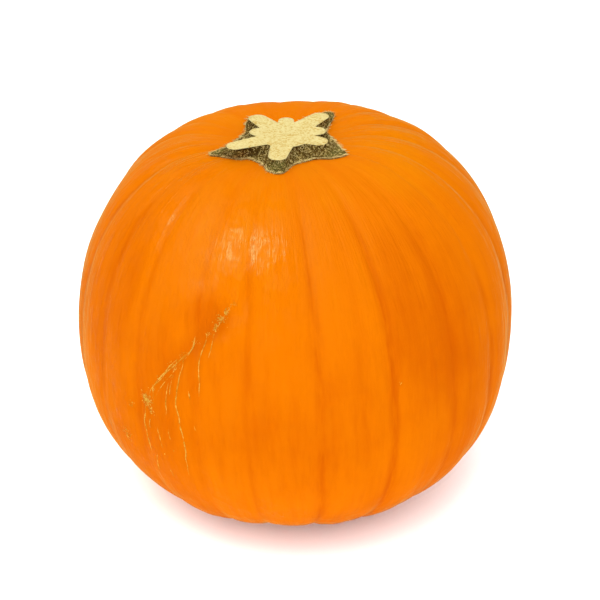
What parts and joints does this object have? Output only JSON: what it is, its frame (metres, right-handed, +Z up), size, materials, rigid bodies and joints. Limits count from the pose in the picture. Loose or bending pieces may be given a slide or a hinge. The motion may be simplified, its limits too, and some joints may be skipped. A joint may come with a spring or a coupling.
{
  "type": "pumpkin",
  "caption": "Ripe round ribbed orange pumpkin with a low-cut, star-shaped stem stub and a scarred crease on its front left; rests on a small flat ring underneath.",
  "frame": {"origin": "on the surface that the pumpkin rests on, under the middle of its bounding box", "axes": "+Z up towards the stem, -Y towards the front that shows the scarred crease on its left, +X to the right seen from the front"},
  "size_m": [0.2598, 0.2588, 0.2386],
  "materials": {
    "skin": "satin",
    "stem": "rough"
  },
  "bodies": {
    "root": {"pumpkin_fruit": "skin", "stem_stub": "stem"}
  },
  "joints": []
}
